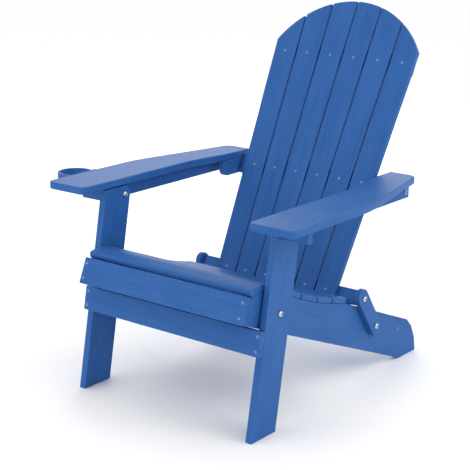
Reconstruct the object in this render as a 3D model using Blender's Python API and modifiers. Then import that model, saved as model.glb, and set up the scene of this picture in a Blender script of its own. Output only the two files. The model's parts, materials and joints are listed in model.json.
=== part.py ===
"""Folding adirondack garden chair in plastic boards, with a cup loop on its right arm.

Blender 4.5, metres, +Z up. The chair faces -Y and the sitter's left is +X. Profile points are
(Y, Z) pairs measured from the legs' front lower edge; CHAIR_SHIFT then puts the origin on the
floor under the middle of the whole chair.
"""

import math

import bmesh
import bpy
from mathutils import Matrix, Vector

CHAIR_SHIFT = Vector((0.035, -0.4344, 0.0))
TOUCH_GAP = 0.0003
BOARD = 0.020
EDGE_ROUND = 0.0025
ARC_STEP = math.radians(12.0)
SIDES = {"left": 1, "right": -1}

# Colour, metallic and roughness of each finish.
FINISHES = {
    "board": ((0.060, 0.160, 0.400), 0.0, 0.62),
    "zinc": ((0.62, 0.62, 0.60), 1.0, 0.35),
}

# Pivots of the folding linkage.
LEG_PIVOT = Vector((0.1110, 0.3066))
ARM_PIVOT = Vector((0.1708, 0.5069))
BACK_PIVOT = Vector((0.6505, 0.5129))
BACK_FOOT_PIVOT = Vector((0.5068, 0.2400))
LINK_PIVOT = Vector((0.5717, 0.1457))

# Distances from the chair's middle plane to each piece's inner and outer face.
SIDE_RAIL_X = (0.2465, 0.2665)
LEG_X = (0.2710, 0.2910)
LINK_X = (0.2680, 0.2835)
ARM_RAIL_X = (0.2920, 0.3120)
BLOCK_X = (0.2425, 0.2625)
SEAT_HALF = 0.2665
APRON_HALF = 0.2910

# Legs and the apron board across their front edges.
LEG_LEAN = 0.1855
LEG_WIDTH_FLAT = 0.0990
LEG_TOP_Z = 0.5300
LEG_TOP_ROUND = 0.0218
APRON_THICK = 0.0163
APRON_Z = (0.2140, 0.2775)

# Side rails: a straight lower edge, a foot, a straight rear top and facets that carry the seat.
RAIL_SLOPE = 0.4099
FOOT_FRONT_Y = 0.7321
RAIL_REAR = ((0.8209, 0.0042), (0.8140, 0.0437), (0.7942, 0.0828), (0.7696, 0.1070))
FOOT_REAR_Y = 0.8225
SEAT_LINE = (
    (0.0310, 0.3635),
    (0.0600, 0.3660),
    (0.0903, 0.3655),
    (0.1615, 0.3384),
    (0.2327, 0.3063),
    (0.3039, 0.2792),
    (0.3747, 0.2574),
    (0.4405, 0.2413),
)
SEAT_SLAT_THICK = 0.015
SLAT_GAP = 0.005
NOSE_FRONT = ((0.0262, 0.3652), (0.0262, 0.3800))
NOSE_CREST = (0.0620, 0.3872)
NOSE_REAR = ((0.0888, 0.3822), (0.0867, 0.36556))
STRETCHER_AT = Vector((0.7187, 0.0932))
STRETCHER_TALL = 0.060

# Upper front board under the seat's nose.
FRONT_BOARD_FOOT = Vector((-0.0159, 0.3048))
FRONT_BOARD_TALL = 0.070
FRONT_BOARD_LEAN = math.atan2(0.3875, 0.9219)

# Back: s runs up the slats from BACK_AT, and depth runs behind their front faces.
BACK_AT = Vector((0.6171, 0.5000))
BACK_LEAN = math.radians(27.76)
BACK_SLATS = 6
BACK_SLAT_THICK = 0.0135
BACK_PITCH = 0.0731
BACK_FLARE = 0.0171
BACK_FOOT_S = -0.305
ARCH_CENTRE_S = 0.2707
ARCH_RADIUS = 0.2777
# Each cross rail: lower and upper edge along s, and half its length.
CROSS_RAILS = {
    "top": (0.3525, 0.4075, 0.2250),
    "mid": (-0.0005, 0.0550, 0.2415),
    "low": (-0.3033, -0.2625, 0.2665),
}
# Between the side rails the low rail reaches further down, and its ends rise a little outward.
LOW_RAIL_DROP = (-0.3350, 0.2400)
LOW_RAIL_FILLET = 0.006
LOW_RAIL_RISE = 0.0006

# Arms and what is fixed under them.
ARM_Z = (0.5335, 0.5535)
ARM_OUTLINE = (
    (0.2670, 0.0075, 0.019),
    (0.3980, 0.0075, 0.019),
    (0.3980, 0.3480, 0.400),
    (0.3235, 0.6845, 0.024),
    (0.2425, 0.6845, 0.006),
    (0.2425, 0.5900, 0.500),
    (0.2670, 0.4500, 0.500),
)
ARM_RAIL_Y = (0.1290, 0.6690)
UNDER_ARM_Z = 0.4945
CLEAT_X = (0.2920, 0.3700)
CLEAT_Y = (0.1084, 0.1284)
BLOCK_Y = (0.5630, 0.6700)
BLOCK_FOOT_Z = 0.4890
BLOCK_ROUND = 0.018

# Cup loop on the right arm's outer edge.
LOOP_CENTRE = Vector((0.4200, 0.1350))
LOOP_RADIUS = 0.048
LOOP_WALL = 0.007
LOOP_TAB = (0.005, 0.013)

# Link plates and pivot bolts.
LINK_ROUND = 0.0225
LINK_PAST_PIVOTS = (0.0060, 0.0080)
SHANK_R = 0.0040
BORE_R = 0.0045
HEAD_R = 0.0082
HEAD_TALL = 0.0056
NUT_R = 0.0075
NUT_TALL = 0.0062
SPACER_R = 0.0100
BORE_END_R = 0.0260
TURN_STEPS = 24

bodies = {}


def clear_scene():
    for obj in list(bpy.data.objects):
        bpy.data.objects.remove(obj, do_unlink=True)


def collection(name, hidden):
    made = bpy.data.collections.new(name)
    made.hide_render = hidden
    bpy.context.scene.collection.children.link(made)
    return made


def add_body(name, parent, pivot):
    """An empty on the body's joint axis, at chair position pivot; the body's pieces hang from it."""
    empty = bpy.data.objects.new(name, None)
    empty.empty_display_size = 0.05
    chair.objects.link(empty)
    place = CHAIR_SHIFT + pivot
    if parent:
        empty.parent = bodies[parent]["empty"]
        empty.location = place - bodies[parent]["place"]
    else:
        empty.location = place
    bodies[name] = {"empty": empty, "place": place}


def in_side_plane(pivot):
    """The chair position, in the middle plane, of a (Y, Z) pair."""
    return Vector((0.0, pivot[0], pivot[1]))


def finish(obj, kind):
    colour, metallic, roughness = FINISHES[kind]
    material = bpy.data.materials.new(f"{obj.name}_{kind}")
    material.use_nodes = True
    shader = material.node_tree.nodes["Principled BSDF"]
    shader.inputs["Base Color"].default_value = (*colour, 1.0)
    shader.inputs["Metallic"].default_value = metallic
    shader.inputs["Roughness"].default_value = roughness
    material.diffuse_color = (*colour, 1.0)
    obj.data.materials.append(material)


def add_piece(name, mesh, body, at, turn=(0.0, 0.0, 0.0), kind="board"):
    """Hangs a mesh from its body's empty, at chair position at."""
    obj = bpy.data.objects.new(name, mesh)
    chair.objects.link(obj)
    obj.parent = bodies[body]["empty"]
    obj.location = CHAIR_SHIFT + Vector(at) - bodies[body]["place"]
    obj.rotation_euler = turn
    finish(obj, kind)
    return obj


def round_edges(obj, width=EDGE_ROUND):
    bevel = obj.modifiers.new("edges", "BEVEL")
    bevel.width = width
    bevel.segments = 2
    bevel.limit_method = "ANGLE"
    bevel.angle_limit = math.radians(40.0)


def block_mesh(name, size):
    """A box of the given size about its own middle."""
    shape = bmesh.new()
    bmesh.ops.create_cube(shape, size=1.0, matrix=Matrix.Diagonal((*size, 1.0)))
    mesh = bpy.data.meshes.new(name)
    shape.to_mesh(mesh)
    shape.free()
    return mesh


def rounded(corners):
    """The outline through corners (x, y, radius), each with a radius turned into an arc."""
    outline = []
    for index, (x, y, radius) in enumerate(corners):
        corner = Vector((x, y))
        if not radius:
            outline.append(corner)
            continue
        before = Vector(corners[index - 1][:2])
        after = Vector(corners[(index + 1) % len(corners)][:2])
        back = (before - corner).normalized()
        ahead = (after - corner).normalized()
        half = back.angle(ahead) / 2.0
        start = corner + back * (radius / math.tan(half))
        centre = corner + (back + ahead).normalized() * (radius / math.sin(half))
        sweep = math.copysign(math.pi - 2.0 * half, back.cross(ahead) * -1.0)
        steps = max(3, round(abs(sweep) / ARC_STEP))
        for step in range(steps + 1):
            outline.append(centre + Matrix.Rotation(sweep * step / steps, 2) @ (start - centre))
    return outline


def arc(centre, radius, first, last, steps):
    """Points on a circle from angle first to angle last, in radians."""
    angles = [first + (last - first) * step / steps for step in range(steps + 1)]
    return [centre + radius * Vector((math.cos(a), math.sin(a))) for a in angles]


def sheet_mesh(name, outline, thickness):
    """A flat board: the outline as a filled 2D curve, extruded by half its thickness each way."""
    curve = bpy.data.curves.new(name, "CURVE")
    curve.dimensions = "2D"
    curve.fill_mode = "BOTH"
    curve.extrude = thickness / 2.0
    spline = curve.splines.new("POLY")
    spline.points.add(len(outline) - 1)
    for point, (x, y) in zip(spline.points, outline):
        point.co = (x, y, 0.0, 1.0)
    spline.use_cyclic_u = True
    drawn = bpy.data.objects.new(name + "_outline", curve)
    chair.objects.link(drawn)
    graph = bpy.context.evaluated_depsgraph_get()
    mesh = bpy.data.meshes.new_from_object(drawn.evaluated_get(graph))
    bpy.data.objects.remove(drawn, do_unlink=True)
    shape = bmesh.new()
    shape.from_mesh(mesh)
    bmesh.ops.remove_doubles(shape, verts=shape.verts, dist=1e-6)
    bmesh.ops.dissolve_limit(
        shape, angle_limit=math.radians(0.05), verts=shape.verts, edges=shape.edges
    )
    bmesh.ops.recalc_face_normals(shape, faces=shape.faces)
    shape.to_mesh(mesh)
    shape.free()
    mesh.name = name
    return mesh


def turned_mesh(name, profile, ring=False):
    """A profile of (radius, height) pairs turned about Z; a ring's profile is a closed loop."""
    count = len(profile)
    edges = [(i, (i + 1) % count) for i in range(count if ring else count - 1)]
    drawn = bpy.data.meshes.new(name + "_profile")
    drawn.from_pydata([(radius, 0.0, height) for radius, height in profile], edges, [])
    lathe = bpy.data.objects.new(name + "_lathe", drawn)
    chair.objects.link(lathe)
    screw = lathe.modifiers.new("turn", "SCREW")
    screw.steps = TURN_STEPS
    screw.render_steps = TURN_STEPS
    screw.use_merge_vertices = True
    screw.merge_threshold = 1e-5
    graph = bpy.context.evaluated_depsgraph_get()
    mesh = bpy.data.meshes.new_from_object(lathe.evaluated_get(graph))
    bpy.data.objects.remove(lathe, do_unlink=True)
    shape = bmesh.new()
    shape.from_mesh(mesh)
    bmesh.ops.remove_doubles(shape, verts=shape.verts, dist=1e-6)
    bmesh.ops.recalc_face_normals(shape, faces=shape.faces)
    shape.to_mesh(mesh)
    shape.free()
    mesh.name = name
    mesh.shade_smooth()
    mesh.set_sharp_from_angle(angle=math.radians(35.0))
    return mesh


SIDEWAYS = (math.pi / 2.0, 0.0, math.pi / 2.0)


def side_board(name, body, side, outline, faces_x):
    """A board standing in a side plane, its outline in (Y, Z), between two distances from the middle."""
    mesh = sheet_mesh(name, outline, faces_x[1] - faces_x[0])
    middle = side * (faces_x[0] + faces_x[1]) / 2.0
    obj = add_piece(name, mesh, body, (middle, 0.0, 0.0), SIDEWAYS)
    round_edges(obj)
    return obj


def cross_board(name, body, size, centre, lean):
    """A board across the chair: size is (length, thickness or width, height), turned by lean about X."""
    obj = add_piece(name, block_mesh(name, size), body, (0.0, *centre), (lean, 0.0, 0.0))
    round_edges(obj, min(EDGE_ROUND, min(size) / 5.0))
    return obj


def bore_cutter(name, side, pivot, span_x):
    """A hidden cylinder along X on a pivot, between two distances from the middle plane."""
    shape = bmesh.new()
    bmesh.ops.create_cone(
        shape,
        cap_ends=True,
        segments=TURN_STEPS,
        radius1=BORE_R,
        radius2=BORE_R,
        depth=span_x[1] - span_x[0],
    )
    mesh = bpy.data.meshes.new(name)
    shape.to_mesh(mesh)
    shape.free()
    cutter = bpy.data.objects.new(name, mesh)
    cutters.objects.link(cutter)
    cutter.location = CHAIR_SHIFT + Vector((side * sum(span_x) / 2.0, pivot[0], pivot[1]))
    cutter.rotation_euler = (0.0, math.pi / 2.0, 0.0)
    cutter.display_type = "WIRE"
    cutter.hide_render = True
    return cutter


def bore(obj, cutter):
    cut = obj.modifiers.new("bore", "BOOLEAN")
    cut.operation = "DIFFERENCE"
    cut.solver = "EXACT"
    cut.object = cutter


def pivot_bolt(name, body, side, pivot, head_face, end, outward=1, nut=False):
    """A domed bolt along X. outward is 1 with the head outside, -1 with the head towards the middle."""
    crown = head_face + outward * HEAD_TALL
    shoulder = head_face + outward * HEAD_TALL * 0.45
    profile = [(0.0, crown), (HEAD_R * 0.45, crown - outward * HEAD_TALL * 0.06)]
    profile += [(HEAD_R * 0.82, head_face + outward * HEAD_TALL * 0.76), (HEAD_R, shoulder)]
    profile += [(HEAD_R, head_face), (SHANK_R, head_face)]
    if nut:
        seat = end + outward * NUT_TALL
        profile += [(SHANK_R, seat), (NUT_R, seat), (NUT_R, end)]
    else:
        profile += [(SHANK_R, end)]
    profile.append((0.0, end))
    turn = (0.0, side * math.pi / 2.0, 0.0)
    return add_piece(name, turned_mesh(name, profile), body, in_side_plane(pivot), turn, "zinc")


def spacer(name, body, side, pivot, span_x, outer):
    inner = BORE_R
    loop = [(inner, span_x[0]), (outer, span_x[0]), (outer, span_x[1]), (inner, span_x[1])]
    turn = (0.0, side * math.pi / 2.0, 0.0)
    mesh = turned_mesh(name, loop, ring=True)
    return add_piece(name, mesh, body, in_side_plane(pivot), turn, "zinc")


def build_seat_frame(cuts):
    board_face = Vector((math.cos(FRONT_BOARD_LEAN), -math.sin(FRONT_BOARD_LEAN)))
    board_up = Vector((math.sin(FRONT_BOARD_LEAN), math.cos(FRONT_BOARD_LEAN)))
    rear_foot = FRONT_BOARD_FOOT + board_face * (BOARD + TOUCH_GAP)
    # Where the side rails' lower edge meets the board's rear face.
    reach = (RAIL_SLOPE * (FOOT_FRONT_Y - rear_foot[0]) - rear_foot[1]) / (
        board_up[1] + RAIL_SLOPE * board_up[0]
    )
    rail_front = rear_foot + board_up * reach
    outline = [Vector((FOOT_FRONT_Y, 0.0)), Vector((FOOT_REAR_Y, 0.0))]
    outline += [Vector(point) for point in RAIL_REAR]
    outline += [Vector(point) for point in reversed(SEAT_LINE)]
    outline.append(rail_front)
    for side_name, side in SIDES.items():
        rail = side_board(f"side_rail_{side_name}", "seat_frame", side, outline, SIDE_RAIL_X)
        bore(rail, cuts["leg", side_name])
        bore(rail, cuts["link", side_name])
    centre = FRONT_BOARD_FOOT + board_face * BOARD / 2.0 + board_up * FRONT_BOARD_TALL / 2.0
    size = (2.0 * SEAT_HALF, BOARD, FRONT_BOARD_TALL)
    cross_board("seat_front_board", "seat_frame", size, centre, -FRONT_BOARD_LEAN)
    rail_lean = -math.atan(RAIL_SLOPE)
    size = (2.0 * (SIDE_RAIL_X[0] - TOUCH_GAP), BOARD, STRETCHER_TALL)
    cross_board("rear_stretcher", "seat_frame", size, STRETCHER_AT, rail_lean)


def build_seat():
    """The rounded nose slat, then one flat slat on each facet of the side rails."""
    lift = Vector((0.0, TOUCH_GAP))
    outline = rounded(
        [
            (*NOSE_FRONT[0], 0.004),
            (*(Vector(SEAT_LINE[0]) + lift), 0.0),
            (*(Vector(SEAT_LINE[1]) + lift), 0.0),
            (*(Vector(NOSE_REAR[1]) + lift), 0.0),
            (*NOSE_REAR[0], 0.0),
            (*NOSE_CREST, 0.060),
            (*NOSE_FRONT[1], 0.007),
        ]
    )
    side_board("seat_nose_slat", "seat_frame", 1, outline, (-SEAT_HALF, SEAT_HALF))
    for index, (front, rear) in enumerate(zip(SEAT_LINE[2:], SEAT_LINE[3:]), start=1):
        front, rear = Vector(front), Vector(rear)
        run = (rear - front).normalized()
        up = Vector((-run[1], run[0]))
        last = index == len(SEAT_LINE) - 3
        start = front + run * SLAT_GAP / 2.0
        end = rear if last else rear - run * SLAT_GAP / 2.0
        centre = (start + end) / 2.0 + up * (SEAT_SLAT_THICK / 2.0 + TOUCH_GAP)
        size = (2.0 * SEAT_HALF, (end - start).length, SEAT_SLAT_THICK)
        lean = math.atan2(run[1], run[0])
        cross_board(f"seat_slat_{index}", "seat_frame", size, centre, lean)


def build_legs(cuts):
    def edge_y(z, back=0.0):
        return LEG_LEAN * z + back

    outline = rounded(
        [
            (0.0, 0.0, 0.0),
            (LEG_WIDTH_FLAT, 0.0, 0.0),
            (edge_y(LEG_TOP_Z, LEG_WIDTH_FLAT), LEG_TOP_Z, LEG_TOP_ROUND),
            (edge_y(LEG_TOP_Z), LEG_TOP_Z, 0.0),
        ]
    )
    for side_name, side in SIDES.items():
        leg = side_board(f"leg_{side_name}", "legs", side, outline, LEG_X)
        bore(leg, cuts["leg", side_name])
        bore(leg, cuts["arm", side_name])
    lean = math.atan(LEG_LEAN)
    height = (APRON_Z[1] - APRON_Z[0]) / math.cos(lean)
    middle_z = sum(APRON_Z) / 2.0
    inward = Vector((math.cos(lean), -math.sin(lean)))
    centre = Vector((edge_y(middle_z), middle_z)) - inward * (APRON_THICK / 2.0 + TOUCH_GAP)
    cross_board("front_apron", "legs", (2.0 * APRON_HALF, APRON_THICK, height), centre, -lean)


def build_arms(cuts):
    arm_middle_z = sum(ARM_Z) / 2.0
    arm_thick = ARM_Z[1] - ARM_Z[0]
    hung_top = ARM_Z[0] - TOUCH_GAP
    hung_tall = hung_top - UNDER_ARM_Z
    hung_z = (hung_top + UNDER_ARM_Z) / 2.0
    block_outline = rounded(
        [
            (BLOCK_Y[0], BLOCK_FOOT_Z, BLOCK_ROUND),
            (BLOCK_Y[1], BLOCK_FOOT_Z, BLOCK_ROUND),
            (BLOCK_Y[1], hung_top, 0.0),
            (BLOCK_Y[0], hung_top, 0.0),
        ]
    )
    for side_name, side in SIDES.items():
        body = f"arm_{side_name}"
        outline = rounded([(side * x, y, radius) for x, y, radius in ARM_OUTLINE])
        mesh = sheet_mesh(f"arm_board_{side_name}", outline, arm_thick)
        arm = add_piece(f"arm_board_{side_name}", mesh, body, (0.0, 0.0, arm_middle_z))
        round_edges(arm, 0.0035)

        size = (ARM_RAIL_X[1] - ARM_RAIL_X[0], ARM_RAIL_Y[1] - ARM_RAIL_Y[0], hung_tall)
        at = (side * sum(ARM_RAIL_X) / 2.0, sum(ARM_RAIL_Y) / 2.0, hung_z)
        rail = add_piece(f"arm_rail_{side_name}", block_mesh("arm_rail", size), body, at)
        round_edges(rail)
        bore(rail, cuts["arm", side_name])
        bore(rail, cuts["back", side_name])

        size = (CLEAT_X[1] - CLEAT_X[0], CLEAT_Y[1] - CLEAT_Y[0], hung_tall)
        at = (side * sum(CLEAT_X) / 2.0, sum(CLEAT_Y) / 2.0, hung_z)
        cleat = add_piece(f"arm_cleat_{side_name}", block_mesh("arm_cleat", size), body, at)
        round_edges(cleat)

        block = side_board(f"arm_block_{side_name}", body, side, block_outline, BLOCK_X)
        bore(block, cuts["back", side_name])


def build_cup_loop():
    """A loop of even wall that starts and ends in a flat tab on the right arm's outer edge."""
    edge = ARM_OUTLINE[1][0] + TOUCH_GAP
    tab_face = edge + LOOP_TAB[0]
    out = math.acos((tab_face - LOOP_CENTRE[0]) / LOOP_RADIUS)
    inner_radius = LOOP_RADIUS - LOOP_WALL
    inside = math.acos((edge - LOOP_CENTRE[0]) / inner_radius)
    outer_arc = arc(LOOP_CENTRE, LOOP_RADIUS, out, -out, 30)
    inner_arc = arc(LOOP_CENTRE, inner_radius, -inside, inside, 30)
    tab_reach = LOOP_RADIUS * math.sin(out) + LOOP_TAB[1]
    near_tab = [LOOP_CENTRE[1] - tab_reach, LOOP_CENTRE[1] + tab_reach]
    outline = [Vector((edge, near_tab[1])), Vector((tab_face, near_tab[1])), *outer_arc]
    outline += [Vector((tab_face, near_tab[0])), Vector((edge, near_tab[0])), *inner_arc]
    outline = [Vector((-x, y)) for x, y in outline]
    mesh = sheet_mesh("cup_loop", outline, ARM_Z[1] - ARM_Z[0])
    loop = add_piece("cup_loop", mesh, "arm_right", (0.0, 0.0, sum(ARM_Z) / 2.0))
    round_edges(loop, 0.0012)


def build_links(cuts):
    """Each link is a plate with round ends, a little past its two pivots."""
    along = BACK_FOOT_PIVOT - LINK_PIVOT
    upper = BACK_FOOT_PIVOT + along.normalized() * LINK_PAST_PIVOTS[0]
    lower = LINK_PIVOT - along.normalized() * LINK_PAST_PIVOTS[1]
    angle = math.atan2(along[1], along[0])
    quarter = math.pi / 2.0
    outline = arc(upper, LINK_ROUND, angle - quarter, angle + quarter, 16)
    outline += arc(lower, LINK_ROUND, angle + quarter, angle + 3.0 * quarter, 16)
    for side_name, side in SIDES.items():
        link = side_board(f"link_plate_{side_name}", f"link_{side_name}", side, outline, LINK_X)
        bore(link, cuts["link", side_name])
        bore(link, cuts["back_foot", side_name])


def back_point(s, depth):
    """The (Y, Z) of a point s up the back and depth behind its front face."""
    up = Vector((math.sin(BACK_LEAN), math.cos(BACK_LEAN)))
    behind = Vector((math.cos(BACK_LEAN), -math.sin(BACK_LEAN)))
    return BACK_AT + up * s + behind * depth


def slat_edge_top(boundary, inset):
    """The s at which a slat's flaring edge runs out at the arch."""
    s = ARCH_CENTRE_S
    for _ in range(20):
        x = boundary * (BACK_PITCH + BACK_FLARE * s) + inset
        s = ARCH_CENTRE_S + math.sqrt(ARCH_RADIUS**2 - x**2)
    return s


def build_back(cuts):
    """Six slats that flare upwards to an arched top, screwed to three cross rails behind them."""
    turn = (math.pi / 2.0 - BACK_LEAN, 0.0, 0.0)
    arch_centre = Vector((0.0, ARCH_CENTRE_S))
    half_gap = SLAT_GAP / 2.0
    for index in range(BACK_SLATS):
        sides = [(index - BACK_SLATS / 2, half_gap), (index + 1 - BACK_SLATS / 2, -half_gap)]
        feet = [b * (BACK_PITCH + BACK_FLARE * BACK_FOOT_S) + inset for b, inset in sides]
        tops = [slat_edge_top(b, inset) for b, inset in sides]
        ends = [b * (BACK_PITCH + BACK_FLARE * s) + inset for (b, inset), s in zip(sides, tops)]
        angles = [math.atan2(s - ARCH_CENTRE_S, x) for s, x in zip(tops, ends)]
        outline = [Vector((feet[0], BACK_FOOT_S)), Vector((feet[1], BACK_FOOT_S))]
        outline += arc(arch_centre, ARCH_RADIUS, angles[1], angles[0], 6)
        name = f"back_slat_{index + 1}"
        mesh = sheet_mesh(name, outline, BACK_SLAT_THICK)
        at = (0.0, *back_point(0.0, BACK_SLAT_THICK / 2.0))
        slat = add_piece(name, mesh, "back", at, turn)
        round_edges(slat, 0.0018)
    for rail_name, (low_s, high_s, half_length) in CROSS_RAILS.items():
        thick = BOARD - TOUCH_GAP
        centre = back_point((low_s + high_s) / 2.0, BACK_SLAT_THICK + TOUCH_GAP + thick / 2.0)
        if rail_name != "low":
            size = (2.0 * half_length, high_s - low_s, thick)
            cross_board(f"back_rail_{rail_name}", "back", size, centre, turn[0])
            continue
        # The ends pass over the side rails, and the middle reaches down between them.
        drop_s, drop_half = LOW_RAIL_DROP
        half = [
            (drop_half, drop_s, 0.0),
            (drop_half, low_s, LOW_RAIL_FILLET),
            (half_length, low_s + LOW_RAIL_RISE, 0.0),
            (half_length, high_s, 0.0),
        ]
        outline = rounded(half + [(-x, s, radius) for x, s, radius in reversed(half)])
        at = (0.0, *back_point(0.0, BACK_SLAT_THICK + TOUCH_GAP + thick / 2.0))
        rail = add_piece("back_rail_low", sheet_mesh("back_rail_low", outline, thick), "back", at, turn)
        round_edges(rail, EDGE_ROUND)
        for side_name in SIDES:
            bore(rail, cuts["back_foot", side_name])


def build_bolts():
    for side_name, side in SIDES.items():
        arm = f"arm_{side_name}"
        inside = SIDE_RAIL_X[0] - TOUCH_GAP - NUT_TALL
        face = LEG_X[1] + TOUCH_GAP
        pivot_bolt(f"leg_bolt_{side_name}", "seat_frame", side, LEG_PIVOT, face, inside, nut=True)
        face = LINK_X[1] + TOUCH_GAP
        pivot_bolt(f"link_bolt_{side_name}", "seat_frame", side, LINK_PIVOT, face, inside, nut=True)
        end = BORE_END_X["back_foot"] + 2.0 * TOUCH_GAP
        pivot_bolt(f"back_foot_bolt_{side_name}", "back", side, BACK_FOOT_PIVOT, face, end)
        face = LEG_X[0] - TOUCH_GAP
        end = BORE_END_X["arm"] - 2.0 * TOUCH_GAP
        pivot_bolt(f"arm_bolt_{side_name}", arm, side, ARM_PIVOT, face, end, outward=-1)
        face = ARM_RAIL_X[1] + TOUCH_GAP
        end = BLOCK_X[0] + TOUCH_GAP
        pivot_bolt(f"back_bolt_{side_name}", arm, side, BACK_PIVOT, face, end)
        between = (SIDE_RAIL_X[1] + TOUCH_GAP, LEG_X[0] - TOUCH_GAP)
        spacer(f"leg_spacer_{side_name}", "seat_frame", side, LEG_PIVOT, between, SPACER_R)
        between = (BLOCK_X[1] + TOUCH_GAP, ARM_RAIL_X[0] - TOUCH_GAP)
        spacer(f"back_spacer_{side_name}", arm, side, BACK_PIVOT, between, SPACER_R)


# How far each bore runs: the first two are blind, into the arm rail and the low back rail.
BORE_END_X = {"arm": 0.3090, "back_foot": 0.2265}
BORES = {
    "leg": (LEG_PIVOT, (0.230, 0.300)),
    "link": (LINK_PIVOT, (0.230, 0.300)),
    "arm": (ARM_PIVOT, (0.260, BORE_END_X["arm"])),
    "back_foot": (BACK_FOOT_PIVOT, (BORE_END_X["back_foot"], 0.300)),
    "back": (BACK_PIVOT, (0.230, 0.325)),
}

clear_scene()
chair = collection("chair", hidden=False)
cutters = collection("cutters", hidden=True)
add_body("seat_frame", None, Vector())
add_body("legs", "seat_frame", in_side_plane(LEG_PIVOT))
add_body("arm_left", "legs", in_side_plane(ARM_PIVOT))
add_body("arm_right", "legs", in_side_plane(ARM_PIVOT))
add_body("link_left", "seat_frame", in_side_plane(LINK_PIVOT))
add_body("link_right", "seat_frame", in_side_plane(LINK_PIVOT))
add_body("back", "link_left", in_side_plane(BACK_FOOT_PIVOT))
cuts = {
    (pivot, side_name): bore_cutter(f"bore_{pivot}_{side_name}", side, *BORES[pivot])
    for pivot in BORES
    for side_name, side in SIDES.items()
}
build_seat_frame(cuts)
build_seat()
build_legs(cuts)
build_arms(cuts)
build_cup_loop()
build_links(cuts)
build_back(cuts)
build_bolts()
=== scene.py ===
"""Looks of the folding adirondack chair: grained plastic boards, zinc bolts and small screws.

Every board is cut again from its own CAD node: the outline of the node's flat face is read from
the frame and carried round a soft edge, so the pieces here have the CAD's sizes and places.
"""
import json
import math

import bpy
import numpy as np
from mathutils import Matrix, Vector


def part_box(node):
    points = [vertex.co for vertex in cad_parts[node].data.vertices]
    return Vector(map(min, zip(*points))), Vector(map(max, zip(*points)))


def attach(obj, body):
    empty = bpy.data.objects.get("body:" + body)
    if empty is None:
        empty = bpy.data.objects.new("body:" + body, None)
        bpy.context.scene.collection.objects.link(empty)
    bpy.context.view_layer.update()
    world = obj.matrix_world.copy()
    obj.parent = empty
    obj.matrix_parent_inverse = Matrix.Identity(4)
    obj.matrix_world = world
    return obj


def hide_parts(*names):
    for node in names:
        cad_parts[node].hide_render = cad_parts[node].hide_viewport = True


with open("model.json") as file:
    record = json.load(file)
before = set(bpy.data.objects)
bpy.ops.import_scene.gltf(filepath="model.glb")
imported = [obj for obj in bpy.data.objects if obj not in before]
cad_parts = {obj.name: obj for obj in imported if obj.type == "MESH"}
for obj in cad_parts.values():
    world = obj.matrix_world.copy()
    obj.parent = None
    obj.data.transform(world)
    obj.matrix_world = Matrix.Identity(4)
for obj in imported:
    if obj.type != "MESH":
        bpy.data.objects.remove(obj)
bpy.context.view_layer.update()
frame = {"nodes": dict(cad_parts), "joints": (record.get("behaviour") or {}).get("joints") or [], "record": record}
record = frame["record"]
slot_of = {part["node"]: part["material_slot"] for part in record["subparts"]}
body_of = {node: body for body, nodes in record["behaviour"]["bodies"].items() for node in nodes}
joint_at = {joint["name"]: np.array(joint["pos_m"]) for joint in frame["joints"]}
MIDDLE_X = joint_at["leg_fold"][0]
SIDES = {"left": 1.0, "right": -1.0}
ALONG_X = (1.0, 0.0, 0.0)

# Camera: where it stands, which way it looks and how long its lens is.
CAMERA_AT = (2.0516, -2.7240, 1.3307)
CAMERA_AZIMUTH = math.radians(37.867)
CAMERA_ELEVATION = math.radians(15.6244)
CAMERA_ROLL = math.radians(0.3936)
CAMERA_LENS_MM = 98.42

# Soft edges: steps over a quarter turn, and how sharp a corner of an outline gets a fan of steps.
EDGE_STEPS = 5
FAN_FROM = math.radians(20.0)
FAN_STEP = math.radians(15.0)
GRAIN_SHIFT = np.array((1.37, 0.73, 0.41))

# Bolts and sleeves, in metres. A ring of a turned shape is round or hexagonal. The nut's rings run
# from its top face to the bolt's end, as radius, distance from that end and hexagon share.
ROUND = 0.0
HEXAGON = 1.0
TURN_SIDES = 48
TURN_CREASE = math.radians(32.0)
HEAD_TALL = 0.0056
HEAD_RIM_TALL = 0.0007
HEAD_RIM_CHAMFER = 0.0003
DOME_FROM = math.radians(24.0)
DOME_TO = math.radians(82.0)
DOME_STEPS = 7
DOME_SHARE = 0.98
DOME_POWER = 0.75
SOCKET_R = 0.0032
SOCKET_DEEP = 0.0034
SOCKET_LIP_OUT = 0.0004
SOCKET_LIP_DOWN = 0.0001
SOCKET_LIP_HEXAGON = 0.4
SHANK_R = 0.0040
SHANK_CHAMFER = 0.0005
NUT_R = 0.0068
NUT_TALL = 0.0062
NUT_RINGS = (
    (SHANK_R, NUT_TALL, ROUND),
    (NUT_R * 0.96, NUT_TALL, HEXAGON),
    (NUT_R, NUT_TALL - 0.0005, HEXAGON),
    (NUT_R, 0.0006, HEXAGON),
    (NUT_R * 0.95, 0.0002, 0.5),
    (SHANK_R * 0.9, 0.0002, ROUND),
)
BORE_R = 0.0045
SLEEVE_CHAMFER = 0.0004

# Wood screws, in metres. The rings and the cross are shares of the radius.
SCREW_R = 0.0036
SCREW_PROUD = 0.0009
SCREW_FALL = 0.75
SCREW_SKIRT = 0.0012
SCREW_SIDES = 24
SCREW_RINGS = (0.0, 0.12, 0.26, 0.42, 0.5, 0.62, 0.8, 0.93, 1.0)
SCREW_CREASE = math.radians(35.0)
SCREW_SPIN = 2.4
CROSS_HALF_WIDTH = 0.13
CROSS_REACH = 0.55
CROSS_DEEP = 0.0011

# Where the screws stand: distances from the ends and from the middle lines of the boards.
FRONT_SCREW_INSET = 0.010
FRONT_SCREW_RISE = {"seat_front_board": 0.0195, "front_apron": 0.0185}
SEAT_SCREW_SHIFT = 0.018
FOOT_BAND = 0.004

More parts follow.
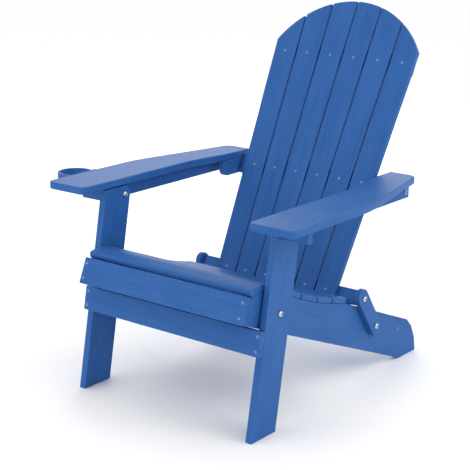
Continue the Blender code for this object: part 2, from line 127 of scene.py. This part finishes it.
# Colours, as linear red, green, blue and alpha.
BLUE_DEEP = (0.0150, 0.0900, 0.3100, 1.0)
BLUE_LIGHT = (0.0270, 0.1200, 0.3640, 1.0)
# The paler colour on the rounded edges stands for wear and a painted highlight.
BLUE_EDGE_WEAR_AND_HIGHLIGHT = (0.0850, 0.1850, 0.3800, 1.0)
ZINC_DARK = (0.40, 0.43, 0.48, 1.0)
ZINC_LIGHT = (0.70, 0.72, 0.74, 1.0)
# The coating's tones, also put on the back bolts as painted shade.
COAT_AND_SHADE_DARK = (0.12, 0.22, 0.40, 1.0)
COAT_AND_SHADE_LIGHT = (0.27, 0.38, 0.54, 1.0)
FLOOR_WHITE = (0.97, 0.97, 0.97, 1.0)

# Studio: a flat floor of rings, a white world, and disc lights. Each light is its name, place, aim,
# size, power and colour.
FLOOR_RADII = np.array((0.0, 1.0, 3.0, 10.0, 40.0))
FLOOR_SIDES = 64
FLOOR_DROP = 0.0002
WORLD_STRENGTH = 1.02
WHITE = (1.0, 1.0, 1.0)
WARM = (1.0, 0.97, 0.92)
LIGHTS = (
    ("key", (3.4, 0.6, 2.6), (0.0, 0.0, 0.4), 2.6, 38.0, WARM),
    ("rear", (-2.2, 3.0, 1.9), (0.0, 0.0, 0.4), 3.4, 46.0, WARM),
    ("front", (-1.6, -3.6, 1.3), (0.0, 0.0, 0.35), 3.0, 26.0, WHITE),
)


# ---------------------------------------------------------------- meshes


def new_piece(name, body, finish, points, faces, replaced=()):
    """A mesh object at the origin that rides on a body and takes one finish."""
    mesh = bpy.data.meshes.new(name)
    mesh.from_pydata(points.tolist(), [], faces)
    mesh.shade_smooth()
    piece = bpy.data.objects.new(name, mesh)
    bpy.context.scene.collection.objects.link(piece)
    mesh.materials.append(finish)
    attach(piece, body)
    if replaced:
        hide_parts(*replaced)
    return piece


def node_mesh(node):
    """A CAD node's points, merged where they coincide, and its triangles."""
    mesh = frame["nodes"][node].data
    mesh.calc_loop_triangles()
    points = np.empty(len(mesh.vertices) * 3)
    mesh.vertices.foreach_get("co", points)
    corners = np.empty(len(mesh.loop_triangles) * 3, np.int32)
    mesh.loop_triangles.foreach_get("vertices", corners)
    points, index = np.unique(np.round(points.reshape(-1, 3), 6), axis=0, return_inverse=True)
    return points, index.reshape(-1)[corners].reshape(-1, 3)


def unit(vectors):
    return vectors / np.linalg.norm(vectors, axis=-1, keepdims=True)


def broad_face(points, triangles, facing=None):
    """The normal of the node's largest flat face, or facing, and the face's outline in order.

    The outline is the longest loop of the edges that one triangle of the face has alone.
    """
    a, b, c = (points[triangles[:, i]] for i in range(3))
    cross = np.cross(b - a, c - a)
    area = np.linalg.norm(cross, axis=1)
    normals = cross / np.maximum(area, 1e-12)[:, None]
    if facing is None:
        kinds, member = np.unique(np.round(normals, 2), axis=0, return_inverse=True)
        largest = np.bincount(member.reshape(-1), weights=area).argmax()
        facing = kinds[largest]
        facing = facing * np.sign(facing[np.abs(facing).argmax()])
        chosen = normals @ facing > 0.999 * np.linalg.norm(facing)
        facing = unit((normals[chosen] * area[chosen, None]).sum(0))
    facing = np.array(facing, float)
    level = points @ facing
    on_face = (normals @ facing > 0.9999) & (level[triangles].min(1) > level.max() - 1e-5)
    face = triangles[on_face]
    starts, ends = face.ravel(), np.roll(face, -1, axis=1).ravel()
    alone = ~np.isin(starts * len(points) + ends, ends * len(points) + starts)
    follows = dict(zip(starts[alone].tolist(), ends[alone].tolist()))
    loops = []
    while follows:
        loop = [next(iter(follows))]
        while loop[-1] in follows:
            loop.append(follows.pop(loop[-1]))
        loops.append(loop[:-1])
    return facing, points[max(loops, key=lambda loop: np.ptp(points[loop], axis=0).max())]


def corner_fans(out):
    """Columns of points down a soft edge, for an outline whose sides have the outward normals out.

    A corner that turns by more than FAN_FROM has several columns, whose directions fan from one
    side's normal to the next. Any other corner has one, halfway between them and longer by
    1 / cos(turn / 2), so that both sides stay parallel. Gives each column's corner, direction
    and length.
    """
    before = np.roll(out, 1, axis=0)
    turn = np.arctan2(before[:, 0] * out[:, 1] - before[:, 1] * out[:, 0], (before * out).sum(1))
    fan = np.where(turn > FAN_FROM, np.ceil(turn / FAN_STEP).astype(int) + 1, 1)
    corner = np.repeat(np.arange(len(out)), fan)
    place = np.arange(len(corner)) - np.repeat(np.cumsum(fan) - fan, fan)
    share = np.where(fan[corner] > 1, place / np.maximum(fan[corner] - 1, 1), 0.5)
    heading = np.arctan2(before[corner, 1], before[corner, 0]) + turn[corner] * share
    reach = np.where(fan[corner] > 1, 1.0, 1.0 / np.cos(turn[corner] / 2.0))
    return corner, np.stack([np.cos(heading), np.sin(heading)], axis=1), reach


def board_faces(corner, corners, rings):
    """Faces of a board: two flat caps, a strip from each cap to the ring beside it, and the wall.

    corner is the outline corner of each column, corners is how many the outline has, and rings
    is how many rings the wall has. A strip is a triangle where two columns share a corner.
    """
    count = len(corner)
    last = corners + rings * count
    here = np.arange(count)
    ahead = np.roll(here, -1)
    shared = corner == corner[ahead]
    faces = [list(range(corners)), list(range(last, last + corners))[::-1]]
    for cap, ring, under in ((0, corners, False), (last, last - count, True)):
        strip = np.stack([cap + corner, ring + here, ring + ahead, cap + corner[ahead]], axis=1)
        strip = strip[~shared].tolist() + strip[shared, :3].tolist()
        faces += [face[::-1] for face in strip] if under else strip
    ring = corners + np.arange(rings - 1)[:, None] * count
    wall = [ring + here, ring + count + here, ring + count + ahead, ring + ahead]
    return faces + np.stack(wall, axis=-1).reshape(-1, 4).tolist()


def soft_board(node, finish, seed, facing=None):
    """A board with rounded edges in place of a CAD node.

    For a point c on the flat face's outline with outward direction d, and an angle t from 0 to
    pi across the edge, the surface is c + d r sin t, raised along the face's normal by r cos t
    from a plane r inside the nearer face.
    """
    points, triangles = node_mesh(node)
    normal, outline = broad_face(points, triangles, facing)
    level = points @ normal
    middle = normal * (level.max() + level.min()) / 2.0

    # Axes in the board's plane, with the first along the outline's longer way.
    spread = outline - outline.mean(0)
    along = np.linalg.eigh(spread.T @ spread)[1][:, -1]
    along = unit(along - normal * (along @ normal))
    across = np.cross(normal, along)
    flat = np.stack([outline @ along, outline @ across], axis=1)
    step = np.roll(flat, -1, axis=0) - flat
    out = unit(np.stack([step[:, 1], -step[:, 0]], axis=1))
    corner, outward, reach = corner_fans(out)

    # The edge's radius is how far the board's side walls stand out from the flat face's edges.
    walls = np.stack([points @ along, points @ across], axis=1) @ out.T
    radius = (walls.max(0) - (flat * out).sum(1)).min()
    angle = np.linspace(0.0, math.pi / 2.0, EDGE_STEPS + 1)
    angle = np.concatenate([angle, math.pi - angle[::-1]])
    half = (level.max() - level.min()) / 2.0 - radius
    height = radius * np.cos(angle) + np.repeat([half, -half], EDGE_STEPS + 1)

    # The first and last rings lie on the flat faces, with one point for each corner.
    rings = len(angle) - 2
    sizes = [len(flat)] + [len(corner)] * rings + [len(flat)]
    raised = np.repeat(height, sizes)[:, None]
    tilt = np.repeat(angle, sizes)[:, None]
    swing = radius * np.sin(angle[1:-1])[:, None, None] * outward * reach[:, None]
    plane = np.concatenate([flat, (flat[corner] + swing).reshape(-1, 2), flat])
    solid = plane[:, :1] * along + plane[:, 1:] * across + raised * normal + middle
    away = np.concatenate([flat * 0.0, np.tile(outward, (rings, 1)), flat * 0.0])
    shade = (away[:, :1] * along + away[:, 1:] * across) * np.sin(tilt) + normal * np.cos(tilt)
    faces = board_faces(corner, len(flat), rings)

    name = node + "_cut"
    piece = new_piece(name, body_of[node], finish, solid, faces, (node,))
    piece.data.normals_split_custom_set_from_vertices(shade.tolist())
    write_grain(piece.data, solid, (along, across, normal), seed)
    # Share of the painted edge highlight and wear: most halfway round each rounded edge.
    wear_and_highlight = np.sin(2.0 * tilt[:, 0]) ** 2
    layer = piece.data.attributes.new("edge", "FLOAT", "POINT")
    layer.data.foreach_set("value", wear_and_highlight.astype(np.float32))


def write_grain(mesh, points, axes, seed):
    """Stores each point's distances along the board's length, width and thickness, as a vector."""
    reach = [np.ptp(points @ axis) for axis in axes]
    longest, second, third = (axes[i] for i in np.argsort(reach)[::-1])
    grain = np.stack([points @ longest, points @ second, points @ third], axis=1)
    grain = grain - grain.mean(0) + GRAIN_SHIFT * seed
    layer = mesh.attributes.new("grain", "FLOAT_VECTOR", "POINT")
    layer.data.foreach_set("vector", grain.astype(np.float32).ravel())


def turned(rings, sides, loop=False):
    """Points and faces of a turned shape along +X.

    Each ring is (radius, distance along X, hexagon share): at angle a its radius is r for a
    round ring and r / cos(a mod 60 degrees - 30 degrees) for a hexagonal one. The first and the
    last ring close the ends, each in one point. A loop joins the last ring to the first.
    """
    radius, along, hexagon = np.array(rings, float).T
    angle = np.arange(sides) * 2.0 * math.pi / sides
    sixth = math.pi / 3.0
    corner = 1.0 / np.cos(np.mod(angle, sixth) - sixth / 2.0)
    across = radius[:, None] * (1.0 + hexagon[:, None] * (corner - 1.0))
    along = np.repeat(along[:, None], sides, 1)
    grid = np.stack([along, across * np.cos(angle), across * np.sin(angle)], -1)
    poles = [] if loop else [0, len(rings) - 1]
    sizes = [1 if index in poles else sides for index in range(len(rings))]
    first = np.cumsum([0] + sizes).tolist()
    points = np.concatenate([ring[:size] for ring, size in zip(grid, sizes)])
    here = np.arange(sides)
    ahead = np.roll(here, -1)
    faces = []
    for low in range(len(rings) if loop else len(rings) - 1):
        high = (low + 1) % len(rings)
        start, end = first[low], first[high]
        if low in poles:
            strip = [np.full(sides, start), end + here, end + ahead]
        elif high in poles:
            strip = [start + here, np.full(sides, end), start + ahead]
        else:
            strip = [start + here, end + here, end + ahead, start + ahead]
        faces += np.stack(strip, axis=1).tolist()
    return points, faces


def disc_faces(rings, sides):
    """Faces of a disc: one point in the middle, and rings of points round it."""
    here = np.arange(sides)
    ahead = np.roll(here, -1)
    faces = np.stack([np.zeros(sides, int), 1 + here, 1 + ahead], 1).tolist()
    for ring in range(rings - 1):
        inner = 1 + ring * sides
        outer = inner + sides
        faces += np.stack([inner + here, outer + here, outer + ahead, inner + ahead], 1).tolist()
    return faces


def outward_faces(points, faces):
    """The faces turned so that the closed shape's volume is positive."""
    fans = [(face[0], *face[i : i + 2]) for face in faces for i in range(1, len(face) - 1)]
    volume = np.linalg.det(points[np.array(fans)]).sum()
    return faces if volume > 0 else [face[::-1] for face in faces]


# ---------------------------------------------------------------- finishes


class Wire:
    """One output of a material's node. Arithmetic on wires adds Math nodes."""

    def __init__(self, finish, socket):
        self.finish = finish
        self.socket = socket

    def math(self, operation, first, second):
        return self.finish.node("ShaderNodeMath", {"operation": operation}, {0: first, 1: second})()

    def __add__(self, other):
        return self.math("ADD", self, other)

    __radd__ = __add__

    def __mul__(self, other):
        return self.math("MULTIPLY", self, other)

    __rmul__ = __mul__


class Finish:
    """A material being built round one Principled shader."""

    def __init__(self, name):
        self.material = bpy.data.materials.new(name)
        self.material.use_nodes = True
        self.tree = self.material.node_tree
        self.shader = self.tree.nodes["Principled BSDF"]

    def node(self, kind, settings=None, sockets=None):
        """Adds a node and returns a call that gives the wire of a named or numbered output."""
        made = self.tree.nodes.new(kind)
        for key, value in (settings or {}).items():
            setattr(made, key, value)
        for key, value in (sockets or {}).items():
            self.feed(made.inputs[key], value)
        return lambda output=0: Wire(self, made.outputs[output])

    def feed(self, socket, value):
        if isinstance(value, Wire):
            self.tree.links.new(value.socket, socket)
        else:
            socket.default_value = value

    def noise(self, vector, scale, detail=4.0, roughness=0.55):
        """Noise on a vector whose three parts are first scaled by scale."""
        mapped = self.node("ShaderNodeMapping", {}, {"Vector": vector, "Scale": scale})()
        sockets = {"Vector": mapped, "Scale": 1.0, "Detail": detail, "Roughness": roughness}
        return self.node("ShaderNodeTexNoise", {}, sockets)("Fac")

    def stretch(self, value, low, high):
        """The value with low taken to 0 and high to 1."""
        sockets = {"Value": value, "From Min": low, "From Max": high}
        return self.node("ShaderNodeMapRange", {"clamp": True}, sockets)()

    def colour(self, share, first, second):
        """The colour between first and second."""
        sockets = {0: share, 6: first, 7: second}
        return self.node("ShaderNodeMix", {"data_type": "RGBA"}, sockets)(2)

    def bump(self, height, strength, distance):
        sockets = {"Height": height, "Strength": strength, "Distance": distance}
        return self.node("ShaderNodeBump", {}, sockets)("Normal")

    def set(self, **values):
        for name, value in values.items():
            self.feed(self.shader.inputs[name.replace("_", " ")], value)
        return self.material


def board_finish():
    """Mid blue plastic board with a fine brushed grain, cloudy tone, and duller edges made paler by wear and a
    painted highlight.
    """
    board = Finish("blue_plastic_board")
    grain = board.node("ShaderNodeAttribute", {"attribute_name": "grain"})("Vector")
    edge = board.node("ShaderNodeAttribute", {"attribute_name": "edge"})("Fac")
    cloud = board.noise(grain, scale=(5.0, 14.0, 14.0), detail=3.0)
    figure = board.noise(grain, scale=(7.0, 95.0, 95.0), detail=5.0, roughness=0.6)
    streak = board.noise(grain, scale=(22.0, 620.0, 620.0), detail=3.0, roughness=0.5)
    pores = board.noise(grain, scale=(260.0, 1500.0, 1500.0), detail=2.0)
    tone = board.stretch(0.35 * cloud + 0.35 * figure + 0.3 * streak, low=0.38, high=0.62)
    face = board.colour(tone, BLUE_DEEP, BLUE_LIGHT)
    # Rounded edges paler in patches: wear and a painted highlight.
    edge_wear_and_highlight = board.stretch(edge * board.stretch(figure, low=0.3, high=0.7), low=0.0, high=1.0) * 0.4
    height = 0.45 * figure + 0.4 * streak + 0.15 * pores
    return board.set(
        Base_Color=board.colour(edge_wear_and_highlight, face, BLUE_EDGE_WEAR_AND_HIGHLIGHT),
        Roughness=0.42 + 0.16 * streak + 0.05 * edge,
        Normal=board.bump(height, strength=0.75, distance=0.0008),
        IOR=1.45,
        Specular_IOR_Level=0.2,
    )


def zinc_finish():
    """Bright zinc plate with a faint mottle."""
    zinc = Finish("zinc_plate")
    place = zinc.node("ShaderNodeTexCoord")("Object")
    mottle = zinc.noise(place, scale=(700.0, 700.0, 700.0), detail=3.0)
    pale = zinc.colour(mottle, ZINC_DARK, ZINC_LIGHT)
    return zinc.set(
        Base_Color=pale,
        Metallic=1.0,
        Roughness=0.18 + 0.18 * mottle,
        Normal=zinc.bump(mottle, strength=0.12, distance=0.0002),
    )


def screw_finish():
    """Pale blue-grey coating on the wood screws, worn to metal in spots; on the back bolts it is painted shade."""
    coat_and_shade = Finish("screw_coating_and_bolt_shade")
    place = coat_and_shade.node("ShaderNodeTexCoord")("Object")
    wear_and_highlight = coat_and_shade.noise(place, scale=(900.0, 900.0, 900.0), detail=3.0)
    pale = coat_and_shade.colour(wear_and_highlight, COAT_AND_SHADE_DARK, COAT_AND_SHADE_LIGHT)
    return coat_and_shade.set(
        Base_Color=pale,
        Metallic=coat_and_shade.stretch(wear_and_highlight, low=0.4, high=0.6) * 0.5,
        Roughness=0.30 + 0.2 * wear_and_highlight,
    )


# ---------------------------------------------------------------- chair


def bolt(node, finish):
    """A domed bolt with a hexagonal socket, and a hexagonal nut where the CAD bolt has one.

    The rings run from the socket's floor, over the dome and down the shank, to the far end.
    """
    low, high = np.array(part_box(node))
    middle = (low + high) / 2.0
    outer = 1.0 if middle[0] > MIDDLE_X else -1.0
    facing = -outer if node.startswith("arm_bolt") else outer
    head_r = (high[1] - low[1]) / 2.0
    length = high[0] - low[0]
    base = length - HEAD_TALL
    pit = length - SOCKET_DEEP
    rings = [
        (0.0, pit, HEXAGON),
        (SOCKET_R, pit, HEXAGON),
        (SOCKET_R, length - SOCKET_LIP_DOWN, HEXAGON),
        (SOCKET_R + SOCKET_LIP_OUT, length, SOCKET_LIP_HEXAGON),
    ]
    for angle in np.linspace(DOME_FROM, DOME_TO, DOME_STEPS):
        rise = HEAD_TALL * DOME_SHARE * math.cos(angle) ** DOME_POWER
        rings.append((head_r * math.sin(angle), base + rise, ROUND))
    rings += [
        (head_r, base + HEAD_RIM_TALL, ROUND),
        (head_r - HEAD_RIM_CHAMFER, base, ROUND),
        (SHANK_R, base, ROUND),
    ]
    if node.startswith(("leg_bolt", "link_bolt")):
        rings += NUT_RINGS
    else:
        rings += [(SHANK_R, SHANK_CHAMFER, ROUND), (SHANK_R - SHANK_CHAMFER, 0.0, ROUND)]
    rings.append((0.0, 0.0, ROUND))
    points, faces = turned(rings, TURN_SIDES)
    points[:, 0] *= facing
    points += (low[0] if facing > 0 else high[0], middle[1], middle[2])
    faces = outward_faces(points - middle, faces)
    name, slot = node + "_turned", slot_of[node]
    piece = new_piece(name, body_of[node], finish, points, faces, (node,))
    piece.data.set_sharp_from_angle(angle=TURN_CREASE)


def spacer_tube(node, finish):
    """A plain sleeve with small chamfers, turned from a closed loop of rings."""
    low, high = np.array(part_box(node))
    middle = (low + high) / 2.0
    radius = (high[1] - low[1]) / 2.0
    length = high[0] - low[0]
    rings = [
        (BORE_R, 0.0, ROUND),
        (radius - SLEEVE_CHAMFER, 0.0, ROUND),
        (radius, SLEEVE_CHAMFER, ROUND),
        (radius, length - SLEEVE_CHAMFER, ROUND),
        (radius - SLEEVE_CHAMFER, length, ROUND),
        (BORE_R, length, ROUND),
    ]
    points, faces = turned(rings, TURN_SIDES, loop=True)
    points += (low[0], middle[1], middle[2])
    faces = outward_faces(points - middle, faces)
    name, slot = node + "_sleeve", slot_of[node]
    piece = new_piece(name, body_of[node], finish, points, faces, (node,))
    piece.data.set_sharp_from_angle(angle=TURN_CREASE)


def screw_shape():
    """One screw head along +Z: a shallow dome whose middle is cut by a cross.

    The height is proud (1 - fall (d / r) squared) less a cross-shaped pit, where d is the
    distance from the axis, and a skirt goes straight down into the board.
    """
    angle = np.arange(SCREW_SIDES) * 2.0 * math.pi / SCREW_SIDES
    distance, angle = np.meshgrid(np.array(SCREW_RINGS) * SCREW_R, angle, indexing="ij")
    x, y = distance * np.cos(angle), distance * np.sin(angle)
    height = SCREW_PROUD * (1.0 - SCREW_FALL * (distance / SCREW_R) ** 2)
    arm = np.minimum(np.abs(x), np.abs(y)) < CROSS_HALF_WIDTH * SCREW_R
    height = height - CROSS_DEEP * (arm & (distance < CROSS_REACH * SCREW_R))
    grid = np.stack([x, y, height], -1)
    down = np.array((0.0, 0.0, SCREW_SKIRT))
    skirt = grid[-1] * (1.0, 1.0, 0.0) - down
    points = np.concatenate([grid[0, :1], grid[1:].reshape(-1, 3), skirt, [-down]])
    faces = disc_faces(len(SCREW_RINGS), SCREW_SIDES)
    here = len(points) - 1 - SCREW_SIDES + np.arange(SCREW_SIDES)
    pole = np.full(SCREW_SIDES, len(points) - 1)
    faces += np.stack([here, pole, np.roll(here, -1)], 1).tolist()
    return points, faces


def screws(name, body, places, outward, finish):
    """One piece that holds a screw head at each place, all looking along outward.

    Each head is turned by SCREW_SPIN more than the one before it.
    """
    shape, shape_faces = screw_shape()
    outward = unit(np.array(outward, float))
    side = unit(np.cross(outward, (0.0, 0.3, 1.0) if abs(outward[0]) > 0.5 else ALONG_X))
    other = np.cross(outward, side)
    places = np.array(places, float)
    spin = np.arange(len(places)) * SCREW_SPIN
    x = np.cos(spin)[:, None] * side + np.sin(spin)[:, None] * other
    axes = np.stack([x, np.cross(outward, x), np.broadcast_to(outward, x.shape)], axis=1)
    points = places[:, None] + shape @ axes
    faces = [[i + len(shape) * n for i in face] for n in range(len(places)) for face in shape_faces]
    piece = new_piece(name, body, finish, points.reshape(-1, 3), faces)
    piece.data.set_sharp_from_angle(angle=SCREW_CREASE)


def face_frame(node, toward):
    """The normal of the board's broad face that looks toward, and the middle of that face."""
    points, triangles = node_mesh(node)
    normal = broad_face(points, triangles)[0]
    normal = normal if normal @ np.array(toward) > 0 else -normal
    middle = (points.min(0) + points.max(0)) / 2.0
    return normal, middle + normal * ((points @ normal).max() - middle @ normal)


def back_screws(finish):
    """A screw through each slat into each cross rail, on the slat's middle line.

    The slats fan out, so at a distance s above their feet a middle line is (1 + flare s) times
    as far from the chair's middle as at the foot.
    """
    normal, face = face_frame("back_slat_3", (0.0, -1.0, 0.0))
    up = np.cross(normal, ALONG_X)
    up = up * np.sign(up[2])
    outer = node_mesh("back_slat_6")[0]
    rise = outer @ up
    edge = outer[:, 0] - MIDDLE_X
    foot, tip = rise.min(), rise[edge.argmax()]
    foot_edge = edge[rise < foot + FOOT_BAND].max()
    flare = (edge.max() / foot_edge - 1.0) / (tip - foot)
    rows = [np.array(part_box(f"back_rail_{rail}")).mean(0) for rail in ("top", "mid")]
    places = []
    for row in (*rows, joint_at["back_fold"]):
        height = row @ up
        on_face = face + up * (height - face @ up)
        for number in range(1, 7):
            points = node_mesh(f"back_slat_{number}")[0]
            bottom = points[points @ up < foot + FOOT_BAND, 0]
            middle = (bottom.min() + bottom.max()) / 2.0 - MIDDLE_X
            x = MIDDLE_X + middle * (1.0 + flare * (height - foot))
            places.append((x, on_face[1], on_face[2]))
    screws("back_slat_screws", "back", places, normal, finish)


def front_screws(finish):
    """Two screws one above the other near each end of the upper front board and the apron."""
    for node, spread in FRONT_SCREW_RISE.items():
        normal, face = face_frame(node, (0.0, -1.0, 0.0))
        up = unit(np.cross(normal, ALONG_X))
        up = up * np.sign(up[2])
        low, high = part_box(node)
        ends = (high[0] - FRONT_SCREW_INSET, low[0] + FRONT_SCREW_INSET)
        places = [
            face + up * rise + (end - face[0], 0.0, 0.0)
            for end in ends
            for rise in (spread, -spread)
        ]
        screws(node + "_screws", body_of[node], places, normal, finish)


def seat_screws(finish):
    """Two screws at each end of every flat seat slat, over the side rails."""
    rail_low, rail_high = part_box("side_rail_left")
    reach = (rail_low[0] + rail_high[0]) / 2.0 - MIDDLE_X
    for number in range(1, 6):
        node = f"seat_slat_{number}"
        normal, face = face_frame(node, (0.0, 0.0, 1.0))
        along = unit(np.cross(ALONG_X, normal))
        places = [
            face + along * shift + (MIDDLE_X + sign * reach - face[0], 0.0, 0.0)
            for sign in SIDES.values()
            for shift in (-SEAT_SCREW_SHIFT, SEAT_SCREW_SHIFT)
        ]
        screws(node + "_screws", "seat_frame", places, normal, finish)


def side_screws(finish):
    """A screw through each side rail into the middle of the rear stretcher's end."""
    middle = np.array(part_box("rear_stretcher")).mean(0)
    for side_name, side in SIDES.items():
        rail_low, rail_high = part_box(f"side_rail_{side_name}")
        face_x = rail_high[0] if side > 0 else rail_low[0]
        places = [(face_x, middle[1], middle[2])]
        screws(f"stretcher_screws_{side_name}", "seat_frame", places, (side, 0.0, 0.0), finish)


def build_chair():
    blue, zinc, coat_and_shade = board_finish(), zinc_finish(), screw_finish()
    for seed, node in enumerate(sorted(slot_of)):
        if slot_of[node] == "plastic_board":
            soft_board(node, blue, seed, (1.0, 0.0, 0.0) if node == "seat_nose_slat" else None)
        elif "spacer" in node:
            spacer_tube(node, zinc)
        else:
            # The back bolts take the darker coating in place of zinc: painted shade for the arm's shadow.
            bolt(node, coat_and_shade if node.startswith("back_bolt") else zinc)
    back_screws(coat_and_shade)
    front_screws(coat_and_shade)
    seat_screws(coat_and_shade)
    side_screws(coat_and_shade)


# ---------------------------------------------------------------- studio


def floor():
    """A wide, flat, pale floor: a disc of rings."""
    angle = np.arange(FLOOR_SIDES) * 2.0 * math.pi / FLOOR_SIDES
    rim = np.stack([np.cos(angle), np.sin(angle), 0.0 * angle], -1)
    grid = FLOOR_RADII[1:, None, None] * rim
    points = np.concatenate([[[0.0, 0.0, 0.0]], grid.reshape(-1, 3)])
    points[:, 2] -= FLOOR_DROP
    mesh = bpy.data.meshes.new("studio_floor")
    mesh.from_pydata(points.tolist(), [], disc_faces(len(FLOOR_RADII) - 1, FLOOR_SIDES))
    disc = bpy.data.objects.new("studio_floor", mesh)
    bpy.context.scene.collection.objects.link(disc)
    mesh.materials.append(Finish("pale_floor").set(Base_Color=FLOOR_WHITE, Roughness=0.95))


def area_light(name, at, aim, size, power, colour):
    data = bpy.data.lights.new(name, "AREA")
    data.shape = "DISK"
    data.size = size
    data.energy = power
    data.color = colour
    light = bpy.data.objects.new(name, data)
    bpy.context.scene.collection.objects.link(light)
    light.location = at
    light.rotation_euler = (Vector(aim) - Vector(at)).to_track_quat("-Z", "Y").to_euler()


def studio():
    world = bpy.data.worlds.new("studio")
    world.use_nodes = True
    background = world.node_tree.nodes["Background"]
    background.inputs["Color"].default_value = (*WHITE, 1.0)
    background.inputs["Strength"].default_value = WORLD_STRENGTH
    bpy.context.scene.world = world
    for light in LIGHTS:
        area_light(*light)
    floor()


def camera():
    azimuth, elevation, roll = CAMERA_AZIMUTH, CAMERA_ELEVATION, CAMERA_ROLL
    ahead = Vector(
        (
            -math.sin(azimuth) * math.cos(elevation),
            math.cos(azimuth) * math.cos(elevation),
            -math.sin(elevation),
        )
    )
    right = Vector((math.cos(azimuth), math.sin(azimuth), 0.0))
    up = right.cross(ahead)
    across = math.cos(roll) * right + math.sin(roll) * up
    upward = math.cos(roll) * up - math.sin(roll) * right
    data = bpy.data.cameras.new("camera")
    data.lens = CAMERA_LENS_MM
    data.sensor_width = 36.0
    data.clip_end = 100.0
    eye = bpy.data.objects.new("camera", data)
    bpy.context.scene.collection.objects.link(eye)
    turn = Matrix((across, upward, -ahead)).transposed().to_4x4()
    eye.matrix_world = Matrix.Translation(CAMERA_AT) @ turn
    bpy.context.scene.camera = eye


bpy.context.scene.view_settings.view_transform = "Standard"
build_chair()
studio()
camera()
